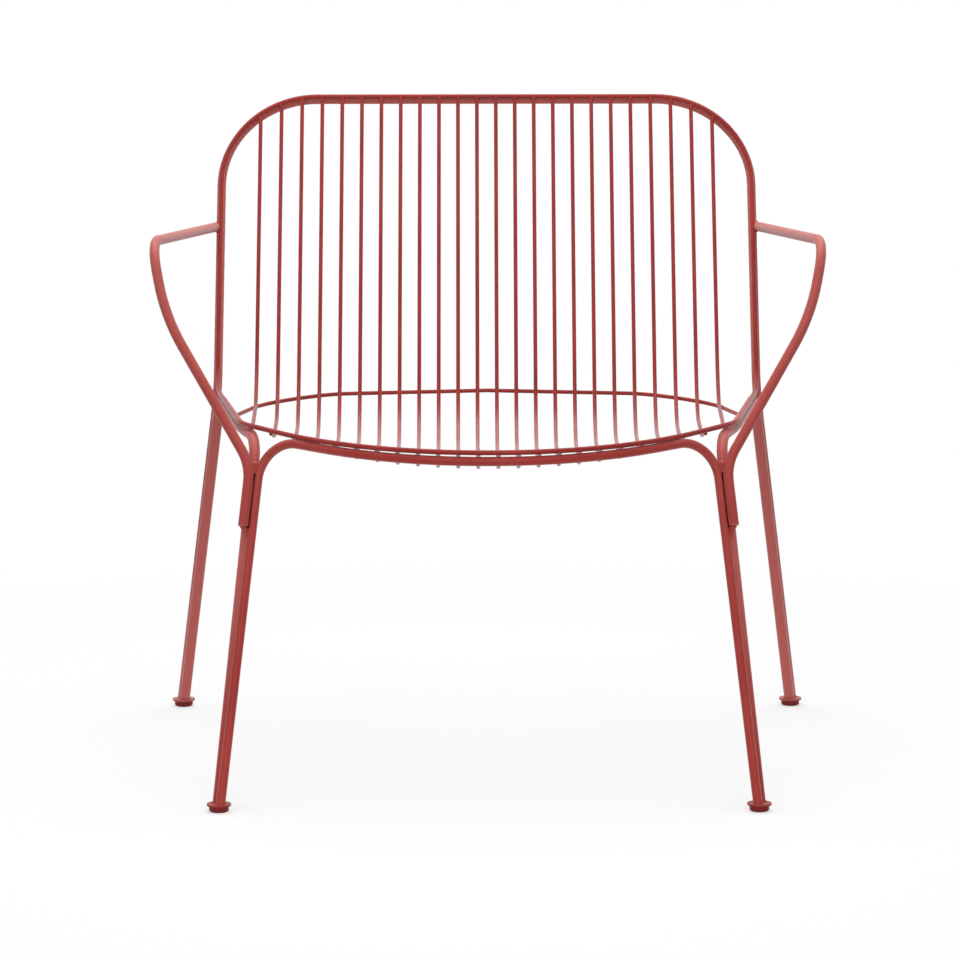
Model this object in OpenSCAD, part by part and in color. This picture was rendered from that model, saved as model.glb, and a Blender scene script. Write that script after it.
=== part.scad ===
// Low garden armchair welded from bent round steel bar and wire, free standing, with no cushion.
// Lengths are millimetres. The front of the chair faces -Y, and Z is up from the floor.
// Places are first worked out from the front feet, as [sideways, back from the front feet, up],
// and the whole chair is then shifted so that the origin lies under the middle of its box.

/* [Stance] */
// Distance from the front feet to the rear feet
feet_depth = 560; // [480:1:640]
// Half the distance between the two front feet
front_foot_x = 286; // [240:1:320]
// Half the distance between the two rear feet
rear_foot_x = 354.5; // [330:0.5:380]

/* [Seat] */
// Height of the edge wire's centre along the sides of the seat
seat_h = 387; // [340:1:420]
// How far the edge wire drops from the sides of the seat to the middle of the front
front_drop = 11; // [2:0.5:30]
// Distance from the front feet back to the middle of the seat's front edge
front_set = 50; // [30:1:70]
// Radius of the bowed front edge, seen from above
front_r = 304; // [280:1:330]
// Angle that each half of the bowed front edge turns through
front_turn = 47; // [42:1:50]
// Half the length of the straight at the very front, between the two halves of the bow
front_flat = 3; // [1:0.5:10]
// Length from the end of the bow to the seat's front corner
corner_run = 65; // [58:1:72]
// Radius of the seat's front corner, between the bowed edge and the side
corner_r = 70; // [40:1:90]
// Distance from the front feet back to the fold between seat and back
fold_set = 455; // [430:1:480]
// Radius of the edge wire at the fold between seat and back
fold_r = 50; // [35:1:60]
// How far the middle wires dip below the side edge
dish = 55; // [30:1:70]
// How far the outermost wires dip below the side edge
dish_edge = 6; // [4:0.5:12]
// Radius of the wires where the back turns into the seat
lap_r = 110; // [70:1:125]
// How far behind the front edge the middle wires start to rise
rise_set = 92; // [70:1:110]
// How far behind the front edge the outermost wires start to rise
rise_set_side = 46; // [40:1:60]
// How far below the front edge that rise starts
rise_h = 31; // [20:1:40]
// Radius of the middle wires where they start to rise
rise_r = 160; // [90:1:200]
// Radius of the outermost wires where they start to rise
rise_r_side = 64; // [50:1:90]

/* [Back] */
// Angle of the back from upright, in degrees
recline = 31; // [24:0.5:36]
// Length of the back, from the fold up to the top edge wire
back_l = 371; // [320:1:420]
// Half the width of the back, to the edge wire's centre
back_x = 306.5; // [290:0.5:330]
// Radius of the back's two top corners
top_r = 110; // [80:1:140]
// Radius of the back frame where it turns from the back into the rear leg
knee_r = 60; // [45:1:80]

/* [Legs] */
// Angle that each half of the front rail's bow turns through before it runs straight to the leg
rail_turn = 36; // [30:1:40]
// Half the width of the front frame where its legs meet its rail
front_leg_x = 243; // [232:1:252]
// Radius of the front frame's corners
front_leg_r = 38; // [30:1:46]
// Gap between the edge wire and the front rail at the middle of the front
rail_gap = 1.6; // [0.8:0.1:3]
// Sideways offset of the side bar from the front leg, at the foot
pair_foot = 3; // [0:0.5:5]
// Sideways offset of the side bar from the front leg, at the seat
pair_seat = 7; // [4:0.5:8]
// Sideways offset of the side bar from the rear leg
pair_rear = 3.5; // [0:0.5:6]
// Radius of the side bar's two tight bends
side_r = 38; // [30:1:50]
// Where the side rail bends outward, back from its front bend
waist_set = 66; // [55:1:90]
// How far outward the side rail has gone there
waist_x = 20; // [12:1:26]
// Radius of that wide bend in the side rail
waist_r = 200; // [100:5:240]
// How much lower the side rail's front end is than the rest of it
rail_dip = 3; // [2.5:0.1:4]

/* [Arms] */
// Height of the arm's centre line at its front bend
arm_h = 580; // [540:1:620]
// Half the width over the arms' centre lines at the front bend
arm_x = 366; // [350:1:385]
// Distance from the front feet back to the front bend of the arm
arm_set = 237; // [200:1:270]
// Radius of the arm's front bend
arm_r = 45; // [30:1:60]
// Height on the back at which the arm joins, measured along the back from the fold
arm_join = 208; // [170:1:240]
// How far outward of the back frame's centre line the arm's rear end is
arm_out = 5; // [4:0.5:7]
// Height at which the arm bends outward, away from the leg
arm_leave_h = 350; // [338:1:358]
// Radius of the bend where the arm leaves the leg
arm_leave_r = 60; // [40:1:80]
// How far ahead of the leg's centre line the arm lies, where it runs along the leg
arm_ahead = 3.5; // [3:0.1:5]
// Height of the arm's lower end
arm_end_h = 288; // [230:1:300]
// Height of the wide bend in the arm's upright
arm_mid_h = 503; // [480:1:520]
// Half the width over the arms' centre lines at that wide bend
arm_mid_x = 350; // [340:1:356]
// Radius of that wide bend
arm_mid_r = 240; // [150:10:260]

/* [Bar and wire] */
// Diameter of the bar of the front and back frames
frame_d = 10; // [8:0.5:11]
// Diameter of the bar of the two side frames
side_d = 12; // [10:0.5:13]
// Diameter of the bar of the arms
arm_d = 11; // [9:0.5:12]
// Diameter of the edge wire
edge_d = 5.5; // [4:0.5:6]
// Diameter of the wires of the seat and back
wire_d = 4.5; // [3:0.5:5]
// Diameter of the cross wire behind the fold
cross_d = 4.5; // [3:0.5:5]
// Number of wires
wires = 24; // [16:2:28]
// Spacing of the two middle wires
pitch = 22; // [16:0.5:24]
// How much wider the spacing is at the outermost wires
pitch_grow = 2.4; // [0:0.1:3]
// How far inward the outermost wires have come where they meet the front edge
front_narrow = 6.5; // [4:0.5:9]
// How far the cross wire's middle lies below the side edge of the seat
cross_drop = 1.5; // [0:0.5:9]
// How far the cross wire's two ends lie below the centre of the side rails
cross_end_drop = 4.55; // [3.5:0.05:5.5]
// Distance from the front feet back to the cross wire's two ends
cross_end_set = 345; // [320:1:370]
// Radius of the cross wire's bend on each side
cross_r = 70; // [50:1:90]
// Clearance between two pieces at a weld
weld_gap = 0.2; // [0.1:0.05:0.4]
// Clearance between the two bars of a leg
pair_gap = 0.5; // [0.4:0.05:0.8]

/* [Feet] */
// Diameter of the foot's flange
flange_d = 26; // [24:0.5:32]
// Thickness of the foot's flange
flange_t = 2; // [1.5:0.1:3]
// Diameter of the glide
glide_d = 21; // [16:0.5:22]
// Height of the glide
glide_h = 6.6; // [5:0.1:10]
// Rounding of the glide's lower edge
glide_round = 2.5; // [1:0.1:4]

/* [Hidden] */
$fn = 48;
foot_h = glide_h + flange_t;
front_h = seat_h - front_drop;
// Length of bar that is cut off flat at each foot
spare = 20;
// The cross wire's corner points before they are rounded, and how far outside the wires they lie
cross_lean_x = 176;
cross_lean_drop = 5;
cross_lean_out = 1;
cross_lean_r = 300;
cross_knee_x = 252;
cross_knee_out = 9.4;
function two(n) = n < 10 ? str("0", n) : str(n);
WIRE_NAMES = [for (i = [1 : wires]) str("wire_", two(i))];
frame_color = [0.66, 0.26, 0.24];
glide_color = [0.22, 0.12, 0.12];

// Directions along and square to the back, seen from the side
back_dir = [0, sin(recline), cos(recline)];
back_out = [0, -cos(recline), sin(recline)];
function unit(v) = v / norm(v);
// A point on the plane of the edge wire's back, at a distance up the back and out from it
function on_back(x, up, out = 0) =
    [x, fold_set, seat_h] + up * back_dir + out * back_out;

// The back frame lies behind the edge wire, square to the back
behind = frame_d / 2 + edge_d / 2 + weld_gap;
back_reach = on_back(0, back_l, -behind)[1] + frame_d / 2;
front_reach = -flange_d / 2;
mid_y = (max(back_reach, feet_depth + flange_d / 2) + front_reach) / 2;

// Plan of the bowed front edge: an arc, then a straight to the corner, then the side of the seat
function arc_end(turn) = [front_flat + front_r * sin(turn), front_set + front_r * (1 - cos(turn))];
function arc_way(turn) = front_flat + front_r * tan(turn / 2);
bow_end = arc_end(front_turn);
corner = bow_end + corner_run * [cos(front_turn), sin(front_turn)];
function bow_slope(x) = min(front_turn, asin(max(0, abs(x) - front_flat) / front_r));
function bow(x) = abs(x) > bow_end[0]
    ? bow_end[1] + (abs(x) - bow_end[0]) * tan(front_turn)
    : front_set + front_r * (1 - cos(bow_slope(x)));
function edge_h(x) = front_h + (seat_h - front_h) * min(1, (bow(x) - front_set) / (corner[1] - front_set));

// Two bars stand on each foot, one behind the other
pair_d = frame_d / 2 + side_d / 2 + pair_gap;
function across(off) = sqrt(pow(pair_d, 2) - pow(off, 2));

// Front leg: from the foot up to the corner of the front rail
rail_drop = frame_d / 2 + edge_d / 2;
rail_end = arc_end(rail_turn);
leg_top_y = rail_end[1] + (front_leg_x - rail_end[0]) * tan(rail_turn);
leg_top = [front_leg_x, leg_top_y, edge_h(front_leg_x) - rail_drop - weld_gap];
leg_foot = [front_foot_x - pair_foot / 2 - (side_d - frame_d) / 4, -across(pair_foot) / 2, foot_h];
leg_rise = leg_top - leg_foot;
leg_dir = unit(leg_rise);
// Sideways and backward directions square to the front leg
leg_side = unit([leg_dir[2], 0, -leg_dir[0]]);
leg_back = cross(leg_dir, leg_side);

// Side bar, from the front foot over the side rail to the rear foot
side_drop = side_d / 2 + edge_d / 2;
rail_h = seat_h - side_drop - weld_gap;
side_foot = leg_foot + pair_foot * leg_side + across(pair_foot) * leg_back;
side_seat = leg_top + pair_seat * leg_side + across(pair_seat) * leg_back;
side_dir = unit(side_seat - side_foot);
function at_height(p, d, h) = p + d * (h - p[2]) / d[2];
side_start = at_height(side_foot, side_dir, foot_h - spare);
side_top = at_height(side_foot, side_dir, rail_h - rail_dip);
waist = [side_top[0] + waist_x, side_top[1] + waist_set, rail_h];

// Rear leg: the back frame turns at the knee and goes down and outward to the rear foot
knee = on_back(back_x, 0, -behind);
rear_pair = across(pair_rear);
rear_foot = [rear_foot_x + pair_rear / 2 + (side_d - frame_d) / 4, feet_depth + rear_pair / 2, foot_h];
rear_dir = unit(knee - rear_foot);
rear_side = unit([rear_dir[2], 0, -rear_dir[0]]);
rear_back = cross(rear_dir, rear_side);
side_rear_foot = rear_foot - pair_rear * rear_side - rear_pair * rear_back;
side_heel = at_height(side_rear_foot, rear_dir, rail_h);
side_rear_start = at_height(side_rear_foot, rear_dir, foot_h - spare);

// Arm: its lower end lies along the outside of the front leg
arm_pair = frame_d / 2 + arm_d / 2 + weld_gap;
arm_low = leg_foot + sqrt(pow(arm_pair, 2) - pow(arm_ahead, 2)) * leg_side - arm_ahead * leg_back;
arm_start = at_height(arm_low, leg_dir, arm_end_h);
arm_leave = at_height(arm_low, leg_dir, arm_leave_h);
arm_bend = [arm_x, arm_set, arm_h];
arm_mid = [arm_mid_x, arm_leave[1] + (arm_set - arm_leave[1]) * (arm_mid_h - arm_leave_h) / (arm_h - arm_leave_h),
           arm_mid_h];
arm_seat = on_back(back_x + arm_out, arm_join, -behind);

// Paths of the bars and of the edge wire, as way points
back_half = [on_back(0, back_l, -behind), on_back(back_x, back_l, -behind), knee,
             at_height(rear_foot, rear_dir, foot_h - spare)];
front_half = [[0, front_set, front_h - rail_drop - rail_gap],
              [arc_way(rail_turn), front_set, front_h - rail_drop - rail_gap],
              leg_top, at_height(leg_foot, leg_dir, foot_h - spare)];
side_path = [side_start, side_top, waist, side_heel, side_rear_start];
arm_path = [arm_start, arm_leave, arm_mid, arm_bend, arm_seat];
ring_half = [[0, front_set, front_h], [arc_way(front_turn), front_set, front_h],
             [corner[0], corner[1], seat_h], [back_x, fold_set, seat_h],
             on_back(back_x, back_l), on_back(0, back_l)];
// A bar or wire along way points: straight runs joined by round bends.
// Each run starts where the last bend ended and is drawn in that bend's own directions.
// A short lip round each end of a bend, two hundredths thicker than the bar, makes bend and run one solid.
lip = 1.02;
lip_l = 0.5;
function turn_angle(a, b) = atan2(norm(cross(a, b)), a * b);
function dirs(p) = [for (i = [0 : len(p) - 2]) unit(p[i + 1] - p[i])];
function trims(p, r) = let (d = dirs(p), n = len(p))
    [for (i = [0 : n - 1])
        i == 0 || i == n - 1 ? 0 : r[i - 1] * tan(turn_angle(d[i - 1], d[i]) / 2)];
function toward(d, e) = let (w = e - (e * d) * d)
    norm(w) < 1e-6 ? unit(abs(d[0]) < 0.9 ? cross(d, [1, 0, 0]) : cross(d, [0, 1, 0])) : unit(w);

module place(origin, x, z) {
    y = cross(z, x);
    multmatrix([[x[0], y[0], z[0], origin[0]], [x[1], y[1], z[1], origin[1]], [x[2], y[2], z[2], origin[2]]])
        children();
}

module bend_lip(size) {
    cylinder(d = size * lip, h = lip_l, center = true);
}

module runs(p, d, t, r, size, i, x) {
    length = norm(p[i + 1] - p[i]) - t[i] - t[i + 1];
    last = i == len(p) - 2;
    cylinder(d = size, h = length);
    if (i > 0) bend_lip(size);
    if (!last) {
        bend = toward(d[i], d[i + 1]);
        spin = atan2(cross(x, bend) * d[i], x * bend);
        angle = turn_angle(d[i], d[i + 1]);
        radius = r[i];
        translate([0, 0, length]) rotate([0, 0, spin]) {
            bend_lip(size);
            translate([radius, 0, 0]) rotate([90, 0, 180]) rotate_extrude(angle = angle)
                translate([radius, 0]) circle(d = size);
            translate([radius * (1 - cos(angle)), 0, radius * sin(angle)]) rotate([0, angle, 0])
                runs(p, d, t, r, size, i + 1, bend * cos(angle) - d[i] * sin(angle));
        }
    }
}

module bent(p, r, size) {
    d = dirs(p);
    t = trims(p, r);
    x = toward(d[0], len(d) > 1 ? d[1] : d[0]);
    place(p[0], x, d[0]) runs(p, d, t, r, size, 0, x);
}

module both_halves() {
    children();
    mirror([1, 0, 0]) children();
}

module seated() {
    translate([0, -mid_y, 0]) children();
}

// Everything below the top of the foot caps
module under_feet() {
    translate([-rear_foot_x - 2 * spare, -2 * spare, foot_h - 2 * spare])
        cube([2 * rear_foot_x + 4 * spare, feet_depth + 4 * spare, 2 * spare]);
}

module back_frame() {
    color(frame_color) seated() difference() {
        both_halves() bent(back_half, [top_r, knee_r], frame_d);
        under_feet();
    }
}

module front_frame() {
    color(frame_color) seated() difference() {
        both_halves() bent(front_half, [front_r, front_leg_r], frame_d);
        under_feet();
    }
}

module side_frame() {
    difference() {
        bent(side_path, [side_r, waist_r, side_r], side_d);
        under_feet();
    }
}

module right_side_frame() {
    color(frame_color) seated() side_frame();
}

module left_side_frame() {
    color(frame_color) seated() mirror([1, 0, 0]) side_frame();
}

// The arm's rear end is cut round the back frame and the edge wire, which it is welded to
module arm() {
    difference() {
        bent(arm_path, [arm_leave_r, arm_mid_r, arm_r], arm_d);
        place(on_back(back_x, arm_join - 2 * arm_d, -behind), [1, 0, 0], back_dir)
            cylinder(d = frame_d + 2 * weld_gap, h = 4 * arm_d);
        place(on_back(back_x, arm_join - 2 * arm_d), [1, 0, 0], back_dir)
            cylinder(d = edge_d + 2 * weld_gap, h = 4 * arm_d);
    }
}

module right_arm() {
    color(frame_color) seated() arm();
}

module left_arm() {
    color(frame_color) seated() mirror([1, 0, 0]) arm();
}

module shell_ring() {
    color(frame_color) seated() both_halves() bent(ring_half, [front_r, corner_r, fold_r, top_r], edge_d);
}

// Sideways place of wire number i, counted from the left
function wire_x(i) = let (u = i - (wires + 1) / 2, side = (wires - 1) / 2)
    u * (pitch + pitch_grow / 3 * pow(u / side, 2));
wire_reach = wire_x(wires) + wire_d / 2;
function dip(x) = dish_edge + (dish - dish_edge) * sqrt(1 - pow(x / wire_reach, 2));
// How far up the back a wire runs before it meets the edge wire
inner_r = top_r - edge_d / 2 - weld_gap;
function wire_top(x) = let (over = max(0, abs(x) + wire_d / 2 - (back_x - top_r)))
    back_l - top_r + sqrt(pow(inner_r, 2) - pow(over, 2));
// The fold of a wire, the start of its rise, and its end on the rear side of the front edge
function wire_lap(x) = on_back(x, -dip(x) / cos(recline));
function wire_front(x) = let (near = x * (1 - front_narrow / wire_x(wires))) [near, bow(near), edge_h(near)];
function wire_rise(x) = let (
        share = dip(x) / dish,
        front = wire_front(x),
        back_by = rise_set_side + (rise_set - rise_set_side) * share)
    [front[0] + (x - front[0]) * back_by / (wire_lap(x)[1] - front[1]), front[1] + back_by,
     front[2] - rise_h * share];
function wire_path(x) = let (
        front = wire_front(x),
        rise = wire_rise(x),
        skew = bow_slope(front[0]),
        short = (edge_d / 2 + weld_gap) / cos(skew) + wire_d / 2 * tan(skew))
    [on_back(x, wire_top(x)), wire_lap(x), rise, front + short * unit(rise - front)];

module wire(i) {
    x = wire_x(i);
    rise_bend = rise_r_side + (rise_r - rise_r_side) * dip(x) / dish;
    color(frame_color) seated() bent(wire_path(x), [lap_r, rise_bend], wire_d);
}

// A place behind the fold of the wire at x, at a height, clear of the wire by an offset
function behind_wire(x, h, off) = let (
        lap = wire_lap(x),
        turn = turn_angle(-back_dir, wire_rise(x) - lap),
        middle = lap + lap_r * tan(turn / 2) * back_dir + lap_r * back_out)
    [x, middle[1] + sqrt(pow(lap_r + off, 2) - pow(middle[2] - h, 2)), h];
cross_off = wire_d / 2 + cross_d / 2 + weld_gap;
cross_h = seat_h - cross_drop;
cross_lean_h = seat_h - cross_lean_drop;
cross_end_h = rail_h - cross_end_drop;
// The cross wire ends against the inner side of the side rail
function rail_x(y) = waist[0] + (side_heel[0] - waist[0]) * (y - waist[1]) / (side_heel[1] - waist[1]);
cross_rail = side_d / 2 + cross_d / 2 + weld_gap;
cross_end = [rail_x(cross_end_set) - sqrt(pow(cross_rail, 2) - pow(rail_h - cross_end_h, 2)), cross_end_set,
             cross_end_h];
cross_half = [behind_wire(0, cross_h, cross_off),
              behind_wire(cross_lean_x, cross_lean_h, cross_off + cross_lean_out),
              behind_wire(cross_knee_x, cross_end_h, cross_off + cross_knee_out),
              cross_end];

module rear_cross_wire() {
    color(frame_color) seated() both_halves() bent(cross_half, [cross_lean_r, cross_r], cross_d);
}

module foot_cap(x, y) {
    color(frame_color) seated() translate([x, y, glide_h]) cylinder(d = flange_d, h = flange_t);
}

module glide(x, y) {
    color(glide_color) seated() translate([x, y, 0]) rotate_extrude() {
        translate([0, glide_round]) square([glide_d / 2, glide_h - glide_round]);
        square([glide_d / 2 - glide_round, glide_round]);
        translate([glide_d / 2 - glide_round, glide_round]) intersection() {
            circle(r = glide_round);
            translate([0, -glide_round]) square(glide_round);
        }
    }
}

back_frame();
front_frame();
left_side_frame();
right_side_frame();
left_arm();
right_arm();
shell_ring();
rear_cross_wire();
for (i = [1 : wires]) wire(i);
foot_cap(-front_foot_x, 0);  // front_left_foot_cap
foot_cap(front_foot_x, 0);  // front_right_foot_cap
foot_cap(-rear_foot_x, feet_depth);  // rear_left_foot_cap
foot_cap(rear_foot_x, feet_depth);  // rear_right_foot_cap
glide(-front_foot_x, 0);  // front_left_glide
glide(front_foot_x, 0);  // front_right_glide
glide(-rear_foot_x, feet_depth);  // rear_left_glide
glide(rear_foot_x, feet_depth);  // rear_right_glide
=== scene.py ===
# %% [markdown]
# # A welded wire lounge armchair
# This lesson dresses a finished construction. The bars, wires, feet and glides of the chair are already
# exact solids, so nothing here changes their shape or place. What is left is what a welder and a powder
# coater do: beads where the bars meet, and a satin terracotta skin over all of it.
#
# The frame is loaded first, because every later piece is placed by measuring it.

# %% Load the construction and measure it
import math

import bpy
import numpy as np
from mathutils import Matrix, Vector
from mathutils.kdtree import KDTree


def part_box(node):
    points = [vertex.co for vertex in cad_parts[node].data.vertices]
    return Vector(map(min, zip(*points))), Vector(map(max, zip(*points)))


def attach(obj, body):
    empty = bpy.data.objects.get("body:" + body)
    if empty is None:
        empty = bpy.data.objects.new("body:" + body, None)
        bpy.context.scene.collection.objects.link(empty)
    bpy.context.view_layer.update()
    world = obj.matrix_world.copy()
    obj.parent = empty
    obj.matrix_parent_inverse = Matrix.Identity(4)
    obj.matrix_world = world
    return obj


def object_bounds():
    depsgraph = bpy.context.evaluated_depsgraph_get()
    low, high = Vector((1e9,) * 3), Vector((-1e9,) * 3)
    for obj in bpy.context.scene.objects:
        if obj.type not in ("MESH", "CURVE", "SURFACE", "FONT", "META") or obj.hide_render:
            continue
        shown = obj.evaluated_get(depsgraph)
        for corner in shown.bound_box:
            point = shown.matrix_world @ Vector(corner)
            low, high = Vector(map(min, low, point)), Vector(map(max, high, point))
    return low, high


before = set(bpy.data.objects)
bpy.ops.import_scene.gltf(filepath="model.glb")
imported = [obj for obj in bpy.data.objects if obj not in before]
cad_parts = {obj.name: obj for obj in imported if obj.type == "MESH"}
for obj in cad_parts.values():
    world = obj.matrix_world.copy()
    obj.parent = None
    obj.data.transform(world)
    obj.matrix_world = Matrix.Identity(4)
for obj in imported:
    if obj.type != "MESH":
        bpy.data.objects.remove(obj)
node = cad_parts
cad_box = [list(corner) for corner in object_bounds()]
floor_z = cad_box[0][2]
print("construction from", cad_box[0], "to", cad_box[1])

# %% [markdown]
# ## The camera
# The photograph was taken from a little above, with a long lens. A camera could be turned by eye until the
# picture looks right, but a long lens hides mistakes of distance. So its height, distance and pitch come
# from the four feet: how far apart each pair looks tells the distance, and how far the rear pair stands
# above the front pair tells the pitch.

# %% Camera
CAMERA_BACK = 5.1508
CAMERA_HEIGHT = 1.1668
CAMERA_X = -0.0225
PITCH = math.radians(8.959)
HEADING = -0.00254
ROLL = -0.001
FOCAL_PIXELS = 4978.5
PHOTO_PIXELS = 960
SENSOR = 36.0
SIGHT = 60.0

glide_low, glide_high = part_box("front_left_glide")
front_feet_y = (glide_low.y + glide_high.y) / 2

camera_data = bpy.data.cameras.new("camera")
camera_data.sensor_width = SENSOR
camera_data.lens = FOCAL_PIXELS / PHOTO_PIXELS * SENSOR
camera_data.clip_end = SIGHT
camera = bpy.data.objects.new("camera", camera_data)
bpy.context.scene.collection.objects.link(camera)
turn = (Matrix.Rotation(HEADING, 3, "Z") @ Matrix.Rotation(math.pi / 2 - PITCH, 3, "X")
        @ Matrix.Rotation(ROLL, 3, "Z"))
camera.location = (CAMERA_X, front_feet_y - CAMERA_BACK, CAMERA_HEIGHT)
camera.rotation_euler = turn.to_euler()
bpy.context.scene.camera = camera
print("lens", round(camera_data.lens, 1), "mm")

# %% [markdown]
# ## Writing shaders as sums
# A material is a graph of nodes. Wired by hand it is hard to read, so this small class lets an ordinary
# expression such as `0.4 + 0.2 * grain` add its own Math nodes. Any other kind of node comes from `make`.


# %% A socket that understands arithmetic
class Value:
    """One output socket of a material's node tree, with + - and * as Math nodes."""

    def __init__(self, tree, socket):
        self.tree = tree
        self.socket = socket

    def math(self, operation, *numbers):
        return make(self.tree, "ShaderNodeMath", {"operation": operation}, numbers)

    def __add__(self, other):
        return self.math("ADD", self, other)

    def __radd__(self, other):
        return self.math("ADD", other, self)

    def __mul__(self, other):
        return self.math("MULTIPLY", self, other)

    def __rmul__(self, other):
        return self.math("MULTIPLY", other, self)

    def __sub__(self, other):
        return self.math("SUBTRACT", self, other)

    def __rsub__(self, other):
        return self.math("SUBTRACT", other, self)


def make(tree, kind, settings, inputs, output=0):
    """Adds a node, sets it up, feeds its sockets and returns one output as a Value."""
    made = tree.nodes.new(kind)
    for name, value in settings.items():
        if name == "stops":
            set_stops(made.color_ramp, value)
        else:
            setattr(made, name, value)
    pairs = inputs.items() if isinstance(inputs, dict) else enumerate(inputs)
    for key, value in pairs:
        if isinstance(value, Value):
            tree.links.new(value.socket, made.inputs[key])
        else:
            made.inputs[key].default_value = value
    return Value(tree, made.outputs[output])


def set_stops(ramp, stops):
    """Gives a colour ramp its stops, each (place, colour)."""
    while len(ramp.elements) < len(stops):
        ramp.elements.new(1)
    for element, (place, colour) in zip(ramp.elements, stops):
        element.position = place
        element.color = (*colour, 1)


print("sockets can be added, subtracted and multiplied")


# %% Materials, noise and colours
def new_material(name):
    """An empty material: its tree and its surface output."""
    material = bpy.data.materials.new(name)
    material.use_nodes = True
    tree = material.node_tree
    tree.nodes.clear()
    surface = tree.nodes.new("ShaderNodeOutputMaterial")
    return material, tree, surface


def noise(tree, place, bumps_per_metre, detail):
    """Soft noise that lies in the object's own space."""
    return make(tree, "ShaderNodeTexNoise", {},
                {"Vector": place, "Scale": bumps_per_metre, "Detail": detail})


# A Mix node's colour sockets are told by number, because each of their names stands there several times.
MIX_FIRST = 6
MIX_SECOND = 7
MIX_RESULT = 2


def mix_colours(tree, share, first, second):
    """The first colour where share is 0 and the second where it is 1."""
    return make(tree, "ShaderNodeMix", {"data_type": "RGBA"},
                {"Factor": share, MIX_FIRST: first, MIX_SECOND: second}, MIX_RESULT)


def srgb(red, green, blue):
    """A screen colour from 0 to 255 as the linear colour that shaders use."""
    part = np.array([red, green, blue]) / 255
    linear = np.where(part <= 0.04045, part / 12.92, ((part + 0.055) / 1.055) ** 2.4)
    return tuple(float(c) for c in linear)


print("shader helpers ready")

# %% [markdown]
# ## The powder coat
# Powder is sprayed on dry and melted in an oven. It flows into a skin about a tenth of a millimetre thick
# with a faint orange peel, satin rather than glossy, and very even in colour. One flat colour would do from
# afar, but close up it looks like plastic. So the peel is a soft noise about two millimetres from bump to
# bump, a finer grain rides on it, and the colour wanders by a few per cent over a hand's width.
#
# Each coat fades to a paler colour along an axis of the chair. The fade is painted light: toward the rear of
# the frame, further forward on the side bars, and a painted highlight where the wires lie flat as a seat.

# %% Powder coat colours
BAR_COAT = [srgb(153, 47, 41), srgb(160, 51, 45), srgb(167, 57, 50)]
# painted light: the bar coat turns paler toward the rear of the frame
BAR_PAINTED_LIGHT = srgb(185, 92, 86)
BAR_PAINTED_LIGHT_FROM_Y = (-0.27, -0.02)
# painted light: the side bars turn paler from further forward
SIDE_PAINTED_LIGHT_FROM_Y = (-0.32, -0.20)
# painted shade: the wires are a darker copy of the bar coat
WIRE_COAT_PAINTED_SHADE = [srgb(140, 39, 34), srgb(148, 43, 38), srgb(156, 49, 43)]
# painted highlight: the wires turn paler where they lie flat as a seat
WIRE_PAINTED_HIGHLIGHT = srgb(168, 98, 95)
WIRE_PAINTED_HIGHLIGHT_FROM_Z = (0.370, 0.348)
DRIFT_STOPS = (0.3, 0.5, 0.7)
print("bars", BAR_COAT[1], "wires", WIRE_COAT_PAINTED_SHADE[1])

# %% The skin of every coat
SATIN = 0.42
SATIN_CHANGE = 0.1
PEEL_PER_METRE = 520.0
GRAIN_PER_METRE = 2400.0
GRAIN_SHARE = 0.3
PEEL_STRENGTH = 0.07
PEEL_HEIGHT = 0.0002


def skin(tree, place):
    """The sockets that every coat shares: a roughness that the grain varies, and the peel as a bump."""
    peel = noise(tree, place, PEEL_PER_METRE, detail=1.0)
    grain = noise(tree, place, GRAIN_PER_METRE, detail=2.0)
    bump = make(tree, "ShaderNodeBump", {},
                {"Height": peel + GRAIN_SHARE * grain, "Strength": PEEL_STRENGTH, "Distance": PEEL_HEIGHT},
                "Normal")
    return {"Roughness": SATIN + SATIN_CHANGE * (grain - 0.5), "Normal": bump}


print("peel", round(1000 / PEEL_PER_METRE, 1), "mm from bump to bump")

# %% Powder coat material
SHEEN = 0.25
SHEEN_ROUGHNESS = 0.45
BAR_GLOSS = 0.18
WIRE_GLOSS = 0.15
DRIFT_PER_METRE = 14.0


def powder_coat(name, colours, pale, axis, fade, gloss):
    """A coat that fades from its own colours to a paler one between two places along an axis; the fade is
    painted light.
    """
    material, tree, surface = new_material(name)
    place = make(tree, "ShaderNodeTexCoord", {}, [], "Object")
    drift = noise(tree, place, DRIFT_PER_METRE, detail=3.0)
    own = make(tree, "ShaderNodeValToRGB", {"stops": list(zip(DRIFT_STOPS, colours))}, [drift])
    along = make(tree, "ShaderNodeSeparateXYZ", {}, [place], axis)
    # painted light: the share of the paler colour along the axis
    painted_light_share = make(tree, "ShaderNodeMapRange", {"interpolation_type": "SMOOTHSTEP"}, [along, *fade, 0.0, 1.0])
    coat = make(tree, "ShaderNodeBsdfPrincipled", {},
                {"Base Color": mix_colours(tree, painted_light_share, own, (*pale, 1)), "Specular IOR Level": gloss,
                 "Sheen Weight": SHEEN, "Sheen Roughness": SHEEN_ROUGHNESS, **skin(tree, place)}, "BSDF")
    tree.links.new(coat.socket, surface.inputs["Surface"])
    return material


# painted light: the bars turn paler toward the rear
bar_coat_painted_light = powder_coat("terracotta_powder_coat_painted_light", BAR_COAT, BAR_PAINTED_LIGHT, "Y", BAR_PAINTED_LIGHT_FROM_Y, BAR_GLOSS)
# painted light: the side bars turn paler from further forward
side_coat_painted_light = powder_coat("terracotta_side_coat_painted_light", BAR_COAT, BAR_PAINTED_LIGHT, "Y", SIDE_PAINTED_LIGHT_FROM_Y, BAR_GLOSS)
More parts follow.
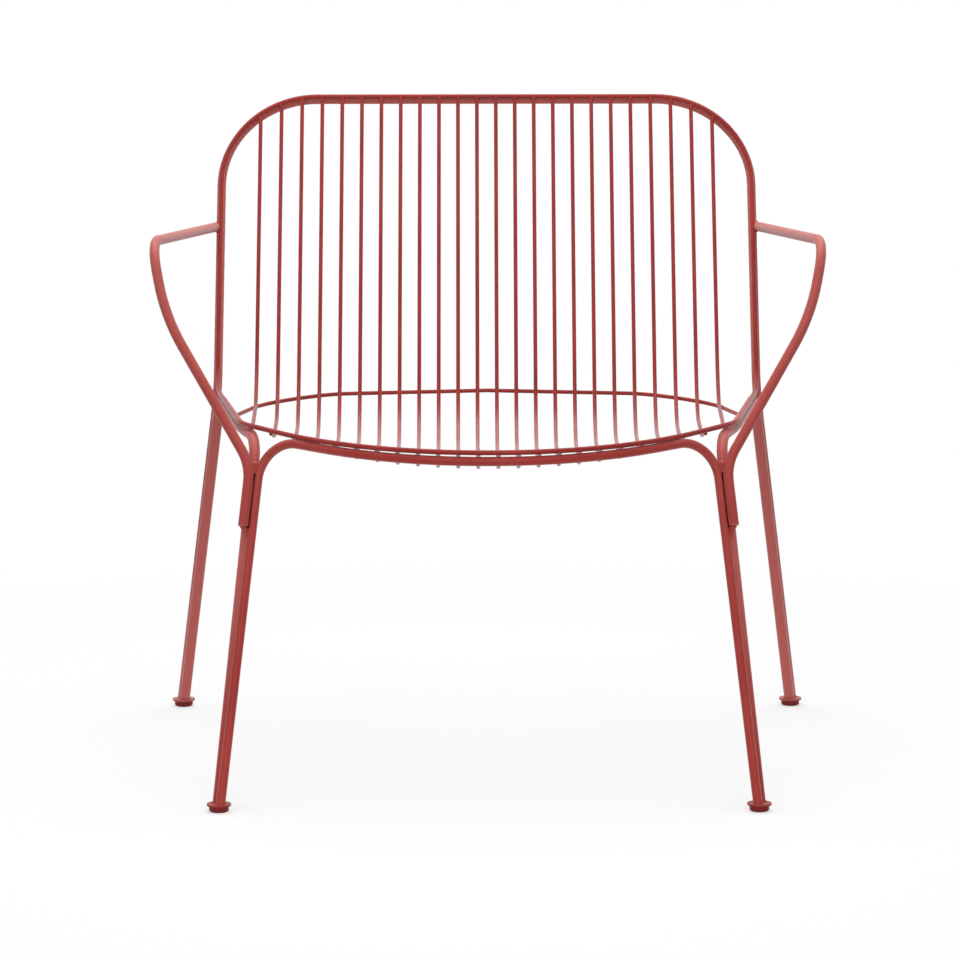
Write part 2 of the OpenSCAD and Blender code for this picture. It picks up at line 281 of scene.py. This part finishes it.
# painted shade on all wires and a painted highlight where they lie flat as a seat
wire_coat_painted_shade_and_highlight = powder_coat("terracotta_wire_coat_painted_shade_and_highlight", WIRE_COAT_PAINTED_SHADE, WIRE_PAINTED_HIGHLIGHT, "Z", WIRE_PAINTED_HIGHLIGHT_FROM_Z, WIRE_GLOSS)
print("three powder coats ready")

# %% [markdown]
# ### The inside of a slit
# A dark strip in the slit between the arm and the leg is painted shade. It has the same peel as the rest,
# but one colour and neither gloss nor sheen, because nobody sees more of it than a line.

# %% Slit material
# painted shade: the dark colour inside the slit between the arm and the leg
SLIT_SHADE = srgb(70, 20, 18)


def painted_slit_shade():
    """Painted shade in a slit: one dark, dull colour all over."""
    material, tree, surface = new_material("painted_shade_in_a_slit")
    place = make(tree, "ShaderNodeTexCoord", {}, [], "Object")
    dull = make(tree, "ShaderNodeBsdfPrincipled", {},
                {"Base Color": (*SLIT_SHADE, 1), "Specular IOR Level": 0.0, **skin(tree, place)}, "BSDF")
    tree.links.new(dull.socket, surface.inputs["Surface"])
    return material


slit_coat_painted_shade = painted_slit_shade()
print("slit ready")

# %% [markdown]
# ## The glides
# Under each foot a moulded plug keeps the steel off the floor. It is plain plastic in a darker red than
# the coat. Over its lowest millimetres it turns darker and rougher towards the floor, broken up by the
# same grain that roughens it.

# %% Glide material
GLIDE = srgb(130, 32, 31)
# the colour of the glide's lowest millimetres: darker towards the floor
GLIDE_NEAR_FLOOR = srgb(92, 22, 24)
GLIDE_GLOSS = 0.25
GLIDE_ROUGHNESS = 0.45
NEAR_FLOOR_ROUGHNESS = 0.2
DARK_BAND_TOP = 0.0025
GLIDE_GRAIN_PER_METRE = 900.0
GLIDE_GRAIN_STRENGTH = 0.3
GLIDE_GRAIN_DEPTH = 0.0002


def glide_plastic():
    """Moulded plastic that is darker and rougher near the floor."""
    material, tree, surface = new_material("dark_glide_plastic")
    place = make(tree, "ShaderNodeTexCoord", {}, [], "Object")
    height = make(tree, "ShaderNodeSeparateXYZ", {}, [place], "Z")
    grain = noise(tree, place, GLIDE_GRAIN_PER_METRE, detail=3.0)
    low = make(tree, "ShaderNodeMapRange", {}, [height, floor_z + DARK_BAND_TOP, floor_z, 0.0, 1.0])
    near_floor_share = make(tree, "ShaderNodeMath", {"operation": "MULTIPLY", "use_clamp": True}, [low, grain])
    bump = make(tree, "ShaderNodeBump", {},
                {"Height": grain, "Strength": GLIDE_GRAIN_STRENGTH, "Distance": GLIDE_GRAIN_DEPTH}, "Normal")
    plastic = make(tree, "ShaderNodeBsdfPrincipled", {},
                   {"Base Color": mix_colours(tree, near_floor_share, (*GLIDE, 1), (*GLIDE_NEAR_FLOOR, 1)),
                    "Roughness": GLIDE_ROUGHNESS + NEAR_FLOOR_ROUGHNESS * near_floor_share, "Normal": bump,
                    "Specular IOR Level": GLIDE_GLOSS}, "BSDF")
    tree.links.new(plastic.socket, surface.inputs["Surface"])
    return material


glide_coat = glide_plastic()
print("glide plastic ready")

# %% [markdown]
# ## Which piece wears which coat
# The steel is coated in one go, so one material could serve for all of it. The wires get a darker copy,
# which is painted shade, and on the side bars the painted light starts further forward, so the wires and the
# side bars have coats of their own. The names of the solids say what each one is, so a few words in them
# decide, and no list has to be kept.


# %% Give every bar, wire and foot its finish
def finish_of(name):
    """The finish of a member, told by its name."""
    if name.endswith("_glide"):
        return glide_coat
    # the side bars wear the coat whose painted light starts further forward
    if name.endswith("_side_frame"):
        return side_coat_painted_light
    # the wires wear the darker coat with painted shade and a painted highlight on the seat
    if name.startswith("wire_") or name in ("shell_ring", "rear_cross_wire"):
        return wire_coat_painted_shade_and_highlight
    return bar_coat_painted_light


for name, piece in node.items():
    piece.data.materials.clear()
    piece.data.materials.append(finish_of(name))
print("finished", len(node), "nodes")

# %% [markdown]
# ## Where the welds go
# The welds could be listed one by one, but the list would be wrong as soon as a bar moved. Two members are
# welded where they stand less than a millimetre apart, so the construction itself says where. Each member
# is sampled along the edges of its mesh, and the samples of one member that have a neighbour on another
# mark the seam between the two. Samples seldom lie just opposite each other, so the distance that counts as
# near is wider than the gap itself.

# %% Sample the members
SAMPLE_STEP = 0.0012


def edge_points(name):
    """Points along every edge of a member's mesh, at most SAMPLE_STEP apart.

    p = start + share (end - start), with the shares of each edge spaced evenly from 0 up to, but not at, 1.
    """
    piece = node[name]
    mesh = piece.data
    corners = np.empty(len(mesh.vertices) * 3)
    mesh.vertices.foreach_get("co", corners)
    world_matrix = np.array(piece.matrix_world)
    corners = corners.reshape(-1, 3) @ world_matrix[:3, :3].T + world_matrix[:3, 3]
    ends = np.empty(len(mesh.edges) * 2, dtype=np.int64)
    mesh.edges.foreach_get("vertices", ends)
    start, end = corners[ends[0::2]], corners[ends[1::2]]
    steps = np.ceil(np.linalg.norm(end - start, axis=1) / SAMPLE_STEP).astype(int) + 1
    first = np.repeat(np.cumsum(steps) - steps, steps)
    share = (np.arange(steps.sum()) - first) / np.repeat(steps, steps)
    return np.repeat(start, steps, axis=0) + share[:, None] * np.repeat(end - start, steps, axis=0)


edge_cache = {}


def points_of(name):
    """The edge points of a member, worked out once."""
    if name not in edge_cache:
        edge_cache[name] = edge_points(name)
    return edge_cache[name]


print("edge points on the edge wire:", len(points_of("shell_ring")))

# %% Find the seams
NEAR_WIRE = 0.0013
WELDS_APART = 0.05


def seam(one, other, reach):
    """The places where two members stand within reach of each other, midway between their surfaces."""
    first, second = points_of(one), points_of(other)
    low = np.maximum(first.min(0), second.min(0)) - reach
    high = np.minimum(first.max(0), second.max(0)) + reach
    first = first[((first > low) & (first < high)).all(1)]
    second = second[((second > low) & (second < high)).all(1)]
    if not len(first) or not len(second):
        return np.empty((0, 3))
    tree = KDTree(len(second))
    for index, point in enumerate(second):
        tree.insert(point, index)
    tree.balance()
    middles = []
    for point in first:
        nearest, _, gap = tree.find(point)
        if gap < reach:
            middles.append((point + np.array(nearest)) / 2)
    return np.array(middles).reshape(-1, 3)


def thinned(points, spacing):
    """A few of the points, at least spacing apart from one another."""
    kept = []
    for point in points:
        if all(np.linalg.norm(point - other) >= spacing for other in kept):
            kept.append(point)
    return kept


def clusters(points, spacing):
    """The points split into groups that lie further than spacing apart along their longest direction."""
    if len(points) == 0:
        return []
    centred = points - points.mean(0)
    along = centred @ np.linalg.svd(centred, full_matrices=False)[2][0]
    order = np.argsort(along)
    breaks = np.nonzero(np.diff(along[order]) > spacing)[0] + 1
    return [points[group] for group in np.split(order, breaks)]


def spots_between(one, other):
    """The middle of each place where two wires meet."""
    return [place.mean(0) for place in clusters(seam(one, other, NEAR_WIRE), WELDS_APART)]


print("the first wire meets the edge wire in", len(spots_between("wire_01", "shell_ring")), "places")

# %% [markdown]
# ## Closed shells
# Every piece that this lesson adds is made of small closed shells: a stack of rings with a pole at each
# end. A ball is such a stack, and so is a long strip. So one function numbers the faces of a stack, and
# another turns any number of equal stacks into one smooth piece.


# %% Stacks of rings
def ring_faces(rows, sides):
    """The faces of a stack of rings, from the lowest ring to the highest.

    Corner k of ring r has the number r * sides + k. The low pole and the high pole come after the rings.
    """
    corner = np.arange(sides)
    beside = (corner + 1) % sides
    row = np.arange(rows - 1)[:, None] * sides
    walls = np.stack([row + corner, row + beside, row + sides + beside, row + sides + corner], -1)
    top = (rows - 1) * sides
    low_pole = np.full(sides, rows * sides)
    ends = np.vstack([np.stack([low_pole, beside, corner], -1),
                      np.stack([low_pole + 1, top + corner, top + beside], -1)])
    return walls.reshape(-1, 4), ends


def shell_piece(name, shells, rows, finish):
    """One smooth piece of equal closed shells, given as an array of shells, points and coordinates."""
    count, size = shells.shape[:2]
    shift = np.arange(count)[:, None, None] * size
    walls, ends = ((faces + shift).reshape(-1, faces.shape[1]).tolist()
                   for faces in ring_faces(rows, (size - 2) // rows))
    mesh = bpy.data.meshes.new(name)
    mesh.from_pydata(shells.reshape(-1, 3).tolist(), [], walls + ends)
    mesh.shade_smooth()
    mesh.materials.append(finish)
    piece = bpy.data.objects.new(name, mesh)
    bpy.context.scene.collection.objects.link(piece)
    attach(piece, "root")
    print(name, "has", count, "shells and", len(mesh.polygons), "faces")


print("a ring of four has", len(ring_faces(1, 4)[1]), "end faces")

# %% [markdown]
# ## The bead
# A bead is a row of small frozen puddles, each lapping the one before. It could be a smooth tube, but then
# it wouldn't have the ripples that a welder calls a stack of dimes. One puddle is a ball, and the row of
# balls leaves the ripples. There are hundreds of them, so each has only 48 faces.

# %% Beads
BALL_SIDES = 8
BALL_ROWS = 5


def unit_ball():
    """The points of a ball of radius 1: p = (sin v cos u, sin v sin u, cos v), from the low pole up."""
    u = np.linspace(0, 2 * math.pi, BALL_SIDES, endpoint=False)
    v = np.linspace(math.pi, 0, BALL_ROWS + 2)[1:-1, None]
    rings = np.stack(np.broadcast_arrays(np.sin(v) * np.cos(u), np.sin(v) * np.sin(u), np.cos(v)), -1)
    return np.vstack([rings.reshape(-1, 3), [[0, 0, -1]], [[0, 0, 1]]])


def beads(name, balls, finish):
    """One piece of many balls, each (centre, radius): p = centre + radius times a point of the unit ball."""
    centres = np.array([centre for centre, _ in balls])
    radii = np.array([radius for _, radius in balls])
    shell_piece(name, centres[:, None] + radii[:, None, None] * unit_ball(), BALL_ROWS, finish)


print("a puddle has", len(unit_ball()), "points")

# %% [markdown]
# ### Wires
# A wire is only spot welded. Each of its two ends gets one collar on the edge wire. Where it crosses the
# wire behind the fold, the two sink into each other a little and the metal is pressed out beside them. The
# two outermost wires of each side end under the edge wire, in a small nub.

# %% Weld the wires
WIRE_RADIUS = 0.00225
END_COLLAR = 1.16 * WIRE_RADIUS
CROSSING_SPOT = 0.0017
PRESSED_OUT = np.array([0.0024, 0, -0.0008])
PRESSED_BACK = np.array([-0.0024, 0, -0.00112])
PRESSED_SPOT = 0.0013
NUBS = 2
NUB = 0.0021
NUB_DROP = np.array([0, 0, -0.0032])

wire_names = sorted(name for name in node if name.startswith("wire_"))
collars, spots = [], []
for number, name in enumerate(wire_names):
    ends = spots_between(name, "shell_ring")
    collars += [(end, END_COLLAR) for end in ends]
    if number < NUBS or number >= len(wire_names) - NUBS:
        front_end = min(ends, key=lambda end: end[1])
        collars.append((front_end + NUB_DROP, NUB))
    for crossing in spots_between(name, "rear_cross_wire"):
        spots += [(crossing, CROSSING_SPOT), (crossing + PRESSED_OUT, PRESSED_SPOT)]
        if number % 2:
            spots.append((crossing + PRESSED_BACK, PRESSED_SPOT))
beads("wire_end_welds", collars, wire_coat_painted_shade_and_highlight)
beads("cross_wire_welds", spots, wire_coat_painted_shade_and_highlight)

# %% [markdown]
# ### Bars
# The two bars of a leg part company at the seat, and the welder closes that crotch with a short bead. The
# arm stands on the leg the same way: its fork is filled where it leaves the leg, and a sloping run of
# weld carries its lower end down on to the leg. Its rear end, and each bar on its foot, is welded round.
# The edge wire is stitched to each side bar where the two meet and where they part.
#
# A bead is a few of the places on a seam with a ball on each. It can start from any end of the seam, so
# four small functions pick an end of it.

# %% Ends of a seam, and rows of puddles
RUN_STEPS = 7


def highest(points, length):
    return points[points[:, 2] > points[:, 2].max() - length]


def lowest(points, length):
    return points[points[:, 2] < points[:, 2].min() + length]


def foremost(points, length):
    return points[points[:, 1] < points[:, 1].min() + length]


def rearmost(points, length):
    return points[points[:, 1] > points[:, 1].max() - length]


def row_of_balls(points, radius, spacing):
    """Equal balls at a few of the points."""
    return [(place, radius) for place in thinned(points, spacing)]


def tapering_run(start, end, radii):
    """Balls from start to end whose radius goes evenly from the first of radii to the second."""
    shares = np.linspace(0, 1, RUN_STEPS)
    return [(start + share * (end - start), radii[0] + share * (radii[1] - radii[0])) for share in shares]


print("a tapering run has", RUN_STEPS, "puddles")

# %% Weld the bars
BAR_BEAD = 0.0027
BAR_SPACING = 0.0021
FOOT_BEAD = 0.0012
FINE_SPACING = 0.0014
RING_BEAD = 0.0013
NEAR_BAR = 0.0016
NEAR_BACK = 0.0009
NEAR_CAP = 0.0008
STITCH = 0.014
SEAM_TIP = 0.003
ARM_TIP = 0.0015
ARM_LAP = 0.001
ARM_RUN = 0.0105
ARM_WELD = (0.0046, 0.0016)
FORK_RUN = 0.0105
FORK_WELD = (0.0024, 0.0046)


def arm_balls(arm):
    """The welds of one arm: below its lower end, in its fork and round its rear end."""
    contact = seam(arm, "front_frame", NEAR_BAR)
    fork, toe = highest(contact, SEAM_TIP).mean(0), lowest(contact, SEAM_TIP).mean(0)
    up = (fork - toe) / np.linalg.norm(fork - toe)
    arm_end = lowest(points_of(arm), ARM_TIP).mean(0)
    return (tapering_run(arm_end + ARM_LAP * up, toe - ARM_RUN * up, ARM_WELD)
            + tapering_run(fork, fork + FORK_RUN * up, FORK_WELD)
            + row_of_balls(seam(arm, "back_frame", NEAR_BACK), RING_BEAD, FINE_SPACING))


bar_balls, foot_balls = [], []
for hand in ("left", "right"):
    side = hand + "_side_frame"
    for leg in ("front_frame", "back_frame"):
        contact = seam(side, leg, NEAR_BAR)
        bar_balls += row_of_balls(highest(contact, STITCH), BAR_BEAD, BAR_SPACING)
    bar_balls += arm_balls(hand + "_arm")
    contact = seam(side, "shell_ring", NEAR_BAR)
    for stitch in (foremost(contact, STITCH), rearmost(contact, STITCH)):
        bar_balls += row_of_balls(stitch, RING_BEAD, FINE_SPACING)
    for end, leg in (("front_", "front_frame"), ("rear_", "back_frame")):
        for bar in (leg, side):
            contact = seam(bar, end + hand + "_foot_cap", NEAR_CAP)
            foot_balls += row_of_balls(contact, FOOT_BEAD, FINE_SPACING)
beads("bar_welds", bar_balls, bar_coat_painted_light)
beads("foot_welds", foot_balls, bar_coat_painted_light)

# %% [markdown]
# ### The long seams
# Down each leg the two bars stand side by side, and the melted powder closes the slit between them. From
# the front the pair looks like one broad bar. A row of balls would need thousands of faces for that, so
# here a strip with an elliptic section follows the seam. The slit between the arm and the leg stays open
# in front, and the dark strip inside it is painted shade.

# %% Close the long seams
SEAM_ROWS = 60
SEAM_SIDES = 12
LEG_SEAM = (0.0016, 0.0038)
ARM_SLIT = (0.0012, 0.0034)


def seam_strip(contact, across, deep):
    """A strip down a seam: p = c(z) + across cos(u) n + deep sin(u) m.

    The middle c is a cubic in the height z, m is the level direction into the slit and n the one across it.
    """
    z = contact[:, 2]
    cubics = [np.polyfit(z, contact[:, axis], 3) for axis in (0, 1)]
    heights = np.linspace(z.min(), z.max(), SEAM_ROWS)
    middle = np.stack([np.polyval(cubics[0], heights), np.polyval(cubics[1], heights), heights], -1)
    spread = np.stack([contact[:, axis] - np.polyval(cubics[axis], z) for axis in (0, 1)], -1)
    into = np.linalg.svd(spread - spread.mean(0), full_matrices=False)[2][0]
    m, n = np.array([*into, 0.0]), np.array([into[1], -into[0], 0.0])
    u = np.linspace(0, 2 * math.pi, SEAM_SIDES, endpoint=False)[:, None]
    outline = across * np.cos(u) * n + deep * np.sin(u) * m
    return np.vstack([(middle[:, None] + outline).reshape(-1, 3), middle[:1], middle[-1:]])


def seam_strips(name, pairs, size, finish):
    """One piece made of a strip for each pair of members that stand side by side."""
    strips = [seam_strip(seam(one, other, NEAR_BAR), *size) for one, other in pairs]
    shell_piece(name, np.array(strips), SEAM_ROWS, finish)


sides = ("left_side_frame", "right_side_frame")
arms = ("left_arm", "right_arm")
seam_strips("front_leg_seams", [(side, "front_frame") for side in sides], LEG_SEAM, side_coat_painted_light)
seam_strips("rear_leg_seams", [(side, "back_frame") for side in sides], LEG_SEAM, side_coat_painted_light)
# painted shade: a dark strip inside the slit between each arm and the leg
seam_strips("arm_slit_shade_strips", [(arm, "front_frame") for arm in arms], ARM_SLIT, slit_coat_painted_shade)

# %% [markdown]
# ## Floor, backdrop and light
# A product photographer hangs pale paper behind the chair and lets it run out under the feet. Here the
# floor is a wide plane. Paper lit until it is white would also throw too much light on the chair. So near
# the chair the floor is lit like grey paper and keeps the chair's own faint shadow, and for the camera it
# glows just enough to meet the white background, into which it fades further out.

# %% White that lights nothing
WORLD_LIGHT = 0.24


def seen_directly(tree):
    """1 for rays from the camera, and for reflected or refracted ones, and 0 for the light's own bounces."""
    rays = tree.nodes.new("ShaderNodeLightPath")
    camera_ray, glossy, through = (Value(tree, rays.outputs[name]) for name in
                                   ("Is Camera Ray", "Is Glossy Ray", "Is Transmission Ray"))
    return make(tree, "ShaderNodeMath", {"operation": "ADD", "use_clamp": True},
                [camera_ray + glossy, through])


def white_where_seen(seen):
    """Strength 1 where it is seen directly, and the plain studio level for the light's own bounces."""
    return WORLD_LIGHT + (1 - WORLD_LIGHT) * seen


print("white where seen, and", WORLD_LIGHT, "for the light's own bounces")

# %% Floor
FLOOR_SIZE = 60.0
FLOOR_COLOUR = (0.4, 0.4, 0.4)
FLOOR_GLOW = 0.56
PAPER_REACH = (0.6, 1.3)


def paper_floor():
    """Grey lit paper near the chair that fades into the white backdrop."""
    material, tree, surface = new_material("pale_paper")
    seen = seen_directly(tree)
    paper = make(tree, "ShaderNodeBsdfDiffuse", {}, {"Color": (*FLOOR_COLOUR, 1)})
    glow = make(tree, "ShaderNodeEmission", {}, {"Strength": FLOOR_GLOW * seen})
    near = make(tree, "ShaderNodeAddShader", {}, [paper, glow])
    far = make(tree, "ShaderNodeEmission", {}, {"Strength": white_where_seen(seen)})
    place = make(tree, "ShaderNodeTexCoord", {}, [], "Object")
    distance = make(tree, "ShaderNodeVectorMath", {"operation": "LENGTH"}, [place], "Value")
    fade = make(tree, "ShaderNodeMapRange", {"interpolation_type": "SMOOTHSTEP"},
                [distance, *PAPER_REACH, 0.0, 1.0])
    both = make(tree, "ShaderNodeMixShader", {}, [fade, near, far])
    tree.links.new(both.socket, surface.inputs["Surface"])
    return material


bpy.ops.mesh.primitive_plane_add(size=FLOOR_SIZE, location=(0, 0, floor_z))
floor = bpy.context.object
floor.name = "floor"
floor.data.materials.append(paper_floor())
print("floor of", FLOOR_SIZE, "metres at height", floor_z)

# %% World
world = bpy.data.worlds.new("studio")
bpy.context.scene.world = world
world.use_nodes = True
sky = world.node_tree
sky.nodes.clear()
dome = make(sky, "ShaderNodeBackground", {}, {"Strength": white_where_seen(seen_directly(sky))})
sky.links.new(dome.socket, sky.nodes.new("ShaderNodeOutputWorld").inputs["Surface"])
print("world ready")

# %% [markdown]
# ### Lamps
# One lamp from the front would light the chair flatly, and one from above would leave its front dark. A
# wide one overhead gives the arms and the seat wires their pale tops and the floor its shadow. Two in front
# fill the legs, one on each side rounds the bars, and a last one lies on the floor and faces up, as the
# light does that white paper throws back.

# %% Soft studio lamps
LAMPS = {
    "overhead": {"at": (0.0, 0.5, 2.6), "size": (2.6, 2.2), "power": 68.0},
    "above_camera": {"at": (0.0, -3.2, 3.1), "size": (2.6, 1.2), "power": 22.0},
    "front": {"at": (0.0, -4.2, 1.5), "size": (3.0, 1.0), "power": 62.0},
    "left": {"at": (-3.2, -1.2, 1.8), "size": (1.6, 2.0), "power": 10.0},
    "right": {"at": (3.2, -1.2, 1.8), "size": (1.6, 2.0), "power": 6.0},
    "floor_bounce": {"at": (0.0, 0.0, 0.01), "size": (1.6, 1.6), "power": 2.5, "toward": (0.0, 0.0, 1.0)},
}
AIM = (0.0, 0.0, 0.35)


def soft_lamp(name, at, size, power, toward=AIM):
    """A rectangular lamp of the given size in metres, turned toward a place and unseen by the camera."""
    data = bpy.data.lights.new(name, "AREA")
    data.shape = "RECTANGLE"
    data.size, data.size_y = size
    data.energy = power
    lamp = bpy.data.objects.new(name, data)
    lamp.location = at
    lamp.rotation_euler = (Vector(toward) - Vector(at)).to_track_quat("-Z", "Y").to_euler()
    lamp.visible_camera = False
    bpy.context.scene.collection.objects.link(lamp)


for name, lamp in LAMPS.items():
    soft_lamp(name, **lamp)
print(len(LAMPS), "lamps ready")

# %% [markdown]
# ## The view
# The default view softens strong colours, as film does. The colours of the coat were chosen as they look on
# a screen, so the Standard view shows them as they are written.

# %% Colour is shown as it is written
bpy.context.scene.view_settings.view_transform = "Standard"
print("view transform", bpy.context.scene.view_settings.view_transform)
